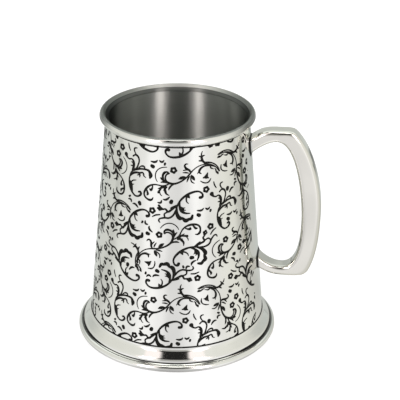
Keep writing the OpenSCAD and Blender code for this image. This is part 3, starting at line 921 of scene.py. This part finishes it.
def stroke(bm, knots, step, weight):
    """Flat ribbon along one stroke, round at its ends"""
    line = smooth_line(knots, step)
    stations = []
    for k, p in enumerate(line):
        ahead = (line[min(k + 1, len(line) - 1)].xy - line[max(k - 1, 0)].xy).normalized()
        stations.append((p.xy, ahead, max(p.z, THINNEST) * weight))
    (p, a, w), (q, c, u) = stations[0], stations[-1]
    head = [(p - a * w / 2 * t, a, w * math.sqrt(1 - t * t)) for t in ROUND_END]
    tail = [(q + c * u / 2 * t, c, u * math.sqrt(1 - t * t)) for t in reversed(ROUND_END)]
    stations = head + stations + tail

    def place(i, j):
        p, ahead, w = stations[i]
        side = Vector((-ahead.y, ahead.x)) * w * (j - 0.5)
        return (p + side).to_3d()

    wrap_grid(bm, len(stations), 2, place)


def flower(bm, centre):
    """Flat five-sided ring flower"""
    rim = bmesh.ops.create_circle(bm, cap_ends=True, segments=25, radius=FLOWER_R)["verts"]
    face = rim[0].link_faces[0]
    for v in rim:
        v.co *= 1 + FLOWER_LOBES * math.cos(5 * math.atan2(v.co.y, v.co.x))
    bmesh.ops.inset_region(bm, faces=[face], thickness=FLOWER_RING, use_boundary=True, use_even_offset=True)
    ring = {v for e in face.edges for f in e.link_faces for v in f.verts}
    bmesh.ops.delete(bm, geom=[face], context="FACES_ONLY")
    bmesh.ops.translate(bm, verts=list(ring), vec=(centre[0], centre[1], 0))


def motif_mesh(strokes, bloom, step, weight):
    """Flat mesh of one motif, in millimetres about its own origin"""
    bm = bmesh.new()
    for knots in strokes:
        stroke(bm, knots, step, weight)
    if bloom is not None:
        flower(bm, bloom)
    mesh = bpy.data.meshes.new("motif")
    bm.to_mesh(mesh)
    bm.free()
    return mesh


def all_of(bm):
    return bm.verts[:] + bm.edges[:] + bm.faces[:]


def flat_pattern(s, apex, nearest, half):
    """Flat mesh of the motifs on the bent sheet, in millimetres, cut at the plain strip. The sheet lies round its apex
    from its nearest edge outwards, and reaches half an angle to either side."""
    bm = bmesh.new()
    for strokes, bloom, places in PLACES:
        motif = motif_mesh(strokes, bloom, s.step / MM, s.weight)
        for x, y, turn, mirrored in places:
            pose = Matrix.Rotation(math.radians(turn), 4, "Z")
            if mirrored:
                pose = pose @ Matrix.Scale(-1, 4, (1, 0, 0))
            for i, j in ((i, j) for i in REPEATS_ACROSS for j in REPEATS_UP):
                origin = Vector((x + i * s.repeat_x / MM, y + j * s.repeat_y / MM, 0))
                rho = math.hypot(origin.x, apex - origin.y)
                bearing = math.atan2(origin.x, apex - origin.y)
                on_sheet = nearest - MOTIF_REACH < rho < apex + MOTIF_REACH
                if on_sheet and abs(bearing) < half + MOTIF_REACH / rho:
                    copy = motif.copy()
                    copy.transform(Matrix.Translation(origin) @ pose)
                    bm.from_mesh(copy)
                    bpy.data.meshes.remove(copy)
        bpy.data.meshes.remove(motif)
    for side in (1, -1):
        bmesh.ops.bisect_plane(bm, geom=all_of(bm), dist=1e-5, plane_co=(0, apex, 0), clear_outer=True,
                               plane_no=Vector((math.cos(half) * side, math.sin(half), 0)))
    return bm


def roll_up(bm, b, s, apex, lean):
    """Rolls the flat pattern onto the wall and cuts it at the foot and the rim"""
    for v in bm.verts:
        rho = math.hypot(v.co.x, apex - v.co.y)
        turn = math.atan2(v.co.x, apex - v.co.y) / math.sin(lean) - math.pi
        r = rho * math.sin(lean) * MM + s.proud
        z = b.low + (apex - rho) * math.cos(lean) * MM
        v.co = (r * math.cos(turn), r * math.sin(turn), z)
    for z, up in ((s.low, -1), (s.high, 1)):
        bmesh.ops.bisect_plane(bm, geom=all_of(bm), dist=1e-8, plane_co=(0, 0, z), plane_no=(0, 0, up),
                               clear_outer=True)
    bmesh.ops.remove_doubles(bm, verts=bm.verts, dist=2e-6)
    bmesh.ops.dissolve_degenerate(bm, dist=1e-6, edges=bm.edges)
    for f in bm.faces:
        middle = f.calc_center_median()
        if f.normal.x * middle.x + f.normal.y * middle.y < 0:
            f.normal_flip()


class TANKARD_OT_scrollwork(bpy.types.Operator):
    """Draw the scrollwork on the flat sheet, roll it onto the wall and give the black fill its thickness"""

    bl_idname = "tankard.scrollwork"
    bl_label = "Scrollwork"

    def execute(self, context):
        b, s = context.scene.tankard_body, context.scene.tankard_scroll
        lean = math.atan(taper(b))
        apex = b.base_r / math.sin(lean) / MM
        nearest = apex - b.tall / MM / math.cos(lean)
        bm = flat_pattern(s, apex, nearest, (math.pi - s.plain) * math.sin(lean))
        roll_up(bm, b, s, apex, lean)
        grown = bmesh.ops.extrude_face_region(bm, geom=bm.faces[:], use_keep_orig=True)
        for v in (g for g in grown["geom"] if isinstance(g, bmesh.types.BMVert)):
            v.co = on_wall(b, v.co, s.deep - s.proud)
        finish_piece(context, bm, "scrollwork_fill", ["scroll_fill"], [], 40)
        return {"FINISHED"}


# Light round the tankard by bearing from the camera, in degrees: two broad soft boxes and a dimmer back
BEARINGS = ((-180, .64), (-150, .72), (-120, .81), (-90, .89), (-65, .96), (-50, 1.02), (-38, 1.2), (-30, 1.2),
            (-18, 1.07), (-8, .90), (1, .89), (12, 1.03), (25, 1.22), (33, 1.17), (44, .98), (65, .97), (90, .87),
            (120, .73), (150, .66), (180, .64))
# Share that keeps those levels below 1 in the colour ramp
RAMP_SHARE = 0.75
# Middle of the lights and of the soft boxes on either side of it, in degrees
LIGHT_MIDDLE, BOX_SIDE = -3, 33
SOFT_BOX = (("off", 15, 9), ("rise", 72, 66), ("rise", 6, 16))
# Layers over that light, each over those before it: the angles in degrees between which a layer sets in, and its level
# or the rises and levels that it runs between. Side is counted from the middle of the lights, off from that of a box.
LAYERS = (
    (SOFT_BOX, 1.35),
    (SOFT_BOX + (("off", 8, 4), ("rise", 48, 40)), 12.0),  # bright core of a soft box
    ((("side", 105, 125), ("rise", -4, 12)), (24, 40, 0.66, 1.1)),  # back
    ((("rise", 66, 72),), 0.14),  # dim ring round the top
    ((("side", 20, 14), ("rise", -8, 6)), 0.5),  # front
    ((("side", 25, 18), ("rise", 28, 38)), 0.02),  # dark slit above the front
    ((("side", 20, 14), ("rise", 66, 71)), 1.2),  # pale end of the slit
    ((("rise", 73, 79),), 2.0),  # top light
)
# Tints of the light: the first everywhere, the others by the angles in degrees between which they set in, with their
# share
FRONT_TINT, BOX_TINT = (1.0, 0.993, 1.01), (1.0, 0.91, 0.9)
TINTS = (("bearing", -25, -100, 1.0, (0.985, 1.0, 0.955)), ("bearing", 20, 80, 1.0, (1.0, 0.998, 0.935)),
         ("rise", -12, 20, 0.7, (1.0, 0.995, 0.935)), ("side", 95, 150, 1.0, (0.955, 1.0, 0.965)))


def surround_group(camera_turn):
    """Light seen from the tankard in a direction: pale sides, two tall soft boxes, a dark slit and a bright top"""
    net, direction, out = new_group("studio_surround", "Direction", ("Light",), "NodeSocketColor")
    turned = net.add("ShaderNodeVectorRotate", rotation_type="Z_AXIS")
    turned.inputs["Angle"].default_value = -camera_turn
    net.join(direction, turned.inputs["Vector"])
    x, y, z = net.split(net.vector("NORMALIZE", turned.outputs[0]))
    bearing = net.math("ARCTAN2", x, net.times(y, -1.0))
    side = net.math("ABSOLUTE", net.math("SUBTRACT", bearing, math.radians(LIGHT_MIDDLE)))
    off = net.math("ABSOLUTE", net.math("SUBTRACT", side, math.radians(BOX_SIDE)))
    angles = {"bearing": bearing, "side": side, "off": off, "rise": net.math("ARCSINE", z)}

    def step(angle, start, end, *levels):
        return net.ramp(angles[angle], math.radians(start), math.radians(end), *levels)

    def share(steps):
        found = step(*steps[0])
        for more in steps[1:]:
            found = net.times(found, step(*more))
        return found

    around = net.add("ShaderNodeValToRGB")
    stops = around.color_ramp.elements
    around.color_ramp.interpolation = "EASE"
    for i, (angle, level) in enumerate(BEARINGS):
        stop = stops[i] if i < 2 else stops.new(i / len(BEARINGS))
        stop.position = (angle + 180) / 360
        stop.color = rgba((level, level, level), RAMP_SHARE)
    net.join(net.ramp(bearing, -math.pi, math.pi, shape="LINEAR"), around.inputs["Fac"])
    level = net.math("DIVIDE", around.outputs["Color"], RAMP_SHARE)
    for steps, light in LAYERS:
        level = net.blend(share(steps), level, step("rise", *light) if isinstance(light, tuple) else light)
    tint = rgba(FRONT_TINT)
    for angle, start, end, most, shade in TINTS:
        tint = net.mix(step(angle, start, end, 0.0, most), tint, rgba(shade))
    tint = net.mix(share(SOFT_BOX), tint, rgba(BOX_TINT))
    light = net.add("ShaderNodeVectorMath", operation="SCALE")
    net.join(tint, light.inputs[0])
    net.join(level, light.inputs["Scale"])
    net.join(light.outputs[0], out["Light"])


# Camera: place in metres; turn, drop and roll in degrees; lens and sensor in millimetres
CAMERA_PLACE = (0.08781, -0.66698, 0.39614)
CAMERA_TURN = (6.474, 25.55, 0.665)
CAMERA_LENS, CAMERA_SENSOR = 126.03, 36
# Middle of the tankard, which the lamps point at and the surround is seen from
MIDDLE = (0, 0, 0.06)
# Soft lamps: bearing from the camera and rise in degrees, distance, width and height in metres, power in watts
LAMPS = (("soft_left", -38, 40, 1.2, 0.5, 0.8, 6), ("soft_right", 42, 42, 1.2, 0.5, 0.8, 6),
         ("soft_top", 170, 62, 1.4, 0.9, 0.9, 8))
FLOOR_RADIUS, SURROUND_RADIUS = 2.4, 2.5
# Shade by the foot on the mirrored floor: where it starts, where it ends behind and in front, and its level
SHADE_START, SHADE_END, SHADE_END_FRONT, SHADE_LEVEL = 0.052, 0.06, 0.078, 0.55
# Places behind the axis between which the mirrored floor's painted light changes, in metres, with its levels where they
# aren't 0 and 1
SHADE_FRONT = (-0.052, -0.06)
BESIDE, PAST_FOOT, PAST_FOOT_LEVEL = (-0.03, 0.012, 1.0, 0.8), (0.03, 0.055), 0.92
FAR_DIM, FAR_END, FAR_END_LEVEL = (0.2, 0.32, 1.0, 0.4), (0.34, 0.5), 1.15
# Share of the floor's own matt shading, beside plain white, that the camera sees
FLOOR_SEEN = 0.3


class TANKARD_OT_stage(bpy.types.Operator):
    """Set the pale floor, the soft studio surround, the lamps and the camera"""

    bl_idname = "tankard.stage"
    bl_label = "Stage"

    def execute(self, context):
        scene = context.scene
        heading = math.atan2(CAMERA_PLACE[0], -CAMERA_PLACE[1])
        surround_group(heading)
        floor = self.ground(context, scene.tankard_colours.floor, heading)
        dome = self.surround(context)
        self.lamps(context, heading)
        self.camera(context)
        world = bpy.data.worlds.new("studio")
        scene.world = world
        world.use_nodes = True
        background = world.node_tree.nodes["Background"].inputs
        background["Color"].default_value = (0.8, 0.8, 0.8, 1)
        background["Strength"].default_value = 0.6
        scene.view_settings.view_transform = "Standard"
        return {"FINISHED"}

    def mesh_object(self, context, bm, name, mat):
        mesh = bpy.data.meshes.new(name)
        bm.to_mesh(mesh)
        bm.free()
        mesh.materials.append(mat)
        obj = bpy.data.objects.new(name, mesh)
        context.scene.collection.objects.link(obj)
        return obj

    def ground(self, context, base, heading):
        """Floor that the camera sees white and that the metal mirrors with the surround's light"""
        mat, net, surface, where = new_material("floor_pale")
        glow = net.add("ShaderNodeEmission")
        net.join(net.grouped("studio_surround", net.vector("SUBTRACT", where, MIDDLE))["Light"], glow.inputs["Color"])
        behind = net.vector("DOT_PRODUCT", where, (-math.sin(heading), math.cos(heading), 0))
        end = net.blend(net.ramp(behind, *SHADE_FRONT), SHADE_END, SHADE_END_FRONT)
        shade = net.ramp(net.vector("LENGTH", where), SHADE_START, end, SHADE_LEVEL, 1.0)
        rear = net.blend(net.ramp(behind, *PAST_FOOT), net.ramp(behind, *BESIDE), PAST_FOOT_LEVEL)
        dim = net.blend(net.ramp(behind, *FAR_END), net.ramp(behind, *FAR_DIM), FAR_END_LEVEL)
        net.join(net.times(shade, net.times(rear, dim)), glow.inputs["Strength"])
        matt = net.add("ShaderNodeBsdfDiffuse")
        net.join(net.mix(net.noise(where, 60, 2), rgba(base, 0.985), rgba(base)), matt.inputs["Color"])
        white = net.add("ShaderNodeEmission")
        white.inputs["Color"].default_value = (1, 1, 1, 1)
        white.inputs["Strength"].default_value = 1.0
        path = net.add("ShaderNodeLightPath").outputs
        shown = net.layer(FLOOR_SEEN, white.outputs[0], matt.outputs[0])
        mirrored = net.layer(net.math("MAXIMUM", path["Is Glossy Ray"], path["Is Transmission Ray"]),
                             matt.outputs[0], glow.outputs[0])
        net.join(net.layer(path["Is Camera Ray"], mirrored, shown), surface)
        bm = bmesh.new()
        bmesh.ops.create_circle(bm, cap_ends=True, segments=96, radius=FLOOR_RADIUS)
        return self.mesh_object(context, bm, "stage_floor", mat)

    def surround(self, context):
        """Dome of soft light, plain white to the camera"""
        mat, net, surface, where = new_material("surround_white")
        seen = net.add("ShaderNodeLightPath").outputs["Is Camera Ray"]
        glow = net.add("ShaderNodeEmission")
        net.join(net.mix(seen, net.grouped("studio_surround", where)["Light"], (1, 1, 1, 1)), glow.inputs["Color"])
        net.join(glow.outputs[0], surface)
        bm = bmesh.new()
        bmesh.ops.create_uvsphere(bm, u_segments=64, v_segments=32, radius=SURROUND_RADIUS)
        bmesh.ops.reverse_faces(bm, faces=bm.faces)
        return self.mesh_object(context, bm, "stage_surround", mat)

    def lamps(self, context, heading):
        for name, turn, rise, far, wide, tall, power in LAMPS:
            lamp = bpy.data.lights.new(name, "AREA")
            lamp.shape = "RECTANGLE"
            lamp.size, lamp.size_y, lamp.energy = wide, tall, power
            obj = bpy.data.objects.new(name, lamp)
            a, e = heading + math.radians(turn), math.radians(rise)
            away = Vector((math.sin(a) * math.cos(e), -math.cos(a) * math.cos(e), math.sin(e)))
            obj.location = Vector(MIDDLE) + away * far
            obj.rotation_euler = (-away).to_track_quat("-Z", "Y").to_euler()
            obj.visible_glossy = False
            context.scene.collection.objects.link(obj)

    def camera(self, context):
        data = bpy.data.cameras.new("photo_camera")
        data.lens, data.sensor_width = CAMERA_LENS, CAMERA_SENSOR
        data.clip_start, data.clip_end = 0.01, 10
        cam = bpy.data.objects.new("photo_camera", data)
        turn, drop, roll = (math.radians(a) for a in CAMERA_TURN)
        cam.matrix_world = (Matrix.Translation(CAMERA_PLACE) @ Matrix.Rotation(turn, 4, "Z")
                            @ Matrix.Rotation(math.pi / 2 - drop, 4, "X") @ Matrix.Rotation(roll, 4, "Z"))
        context.scene.collection.objects.link(cam)
        context.scene.camera = cam


class TANKARD_PT_panel(bpy.types.Panel):
    """Tankard pieces in the order they are built"""

    bl_idname = "TANKARD_PT_panel"
    bl_label = "Pewter tankard"
    bl_space_type = "VIEW_3D"
    bl_region_type = "UI"
    bl_category = "Tankard"

    def draw(self, context):
        for step in STEPS:
            self.layout.operator(step.bl_idname)
        for name, _ in GROUPS:
            box = self.layout.box()
            settings = getattr(context.scene, name)
            for key in settings.bl_rna.properties.keys():
                if key not in ("rna_type", "name"):
                    box.prop(settings, key)


STEPS = (TANKARD_OT_finishes, TANKARD_OT_body, TANKARD_OT_rim, TANKARD_OT_foot, TANKARD_OT_handle,
         TANKARD_OT_scrollwork, TANKARD_OT_stage)
GROUPS = (("tankard_body", BodySizes), ("tankard_foot", FootSizes), ("tankard_handle", HandleSizes),
          ("tankard_scroll", ScrollSizes), ("tankard_colours", TankardColours))


def register():
    for name, group in GROUPS:
        bpy.utils.register_class(group)
        setattr(bpy.types.Scene, name, PointerProperty(type=group))
    for cls in STEPS + (TANKARD_PT_panel,):
        bpy.utils.register_class(cls)


def unregister():
    for cls in reversed(STEPS + (TANKARD_PT_panel,)):
        bpy.utils.unregister_class(cls)
    for name, group in reversed(GROUPS):
        delattr(bpy.types.Scene, name)
        bpy.utils.unregister_class(group)


def main():
    register()
    bpy.ops.tankard.finishes()
    bpy.ops.tankard.body()
    bpy.ops.tankard.rim()
    bpy.ops.tankard.foot()
    bpy.ops.tankard.handle()
    bpy.ops.tankard.scrollwork()
    bpy.ops.tankard.stage()


if __name__ == "__main__":
    main()
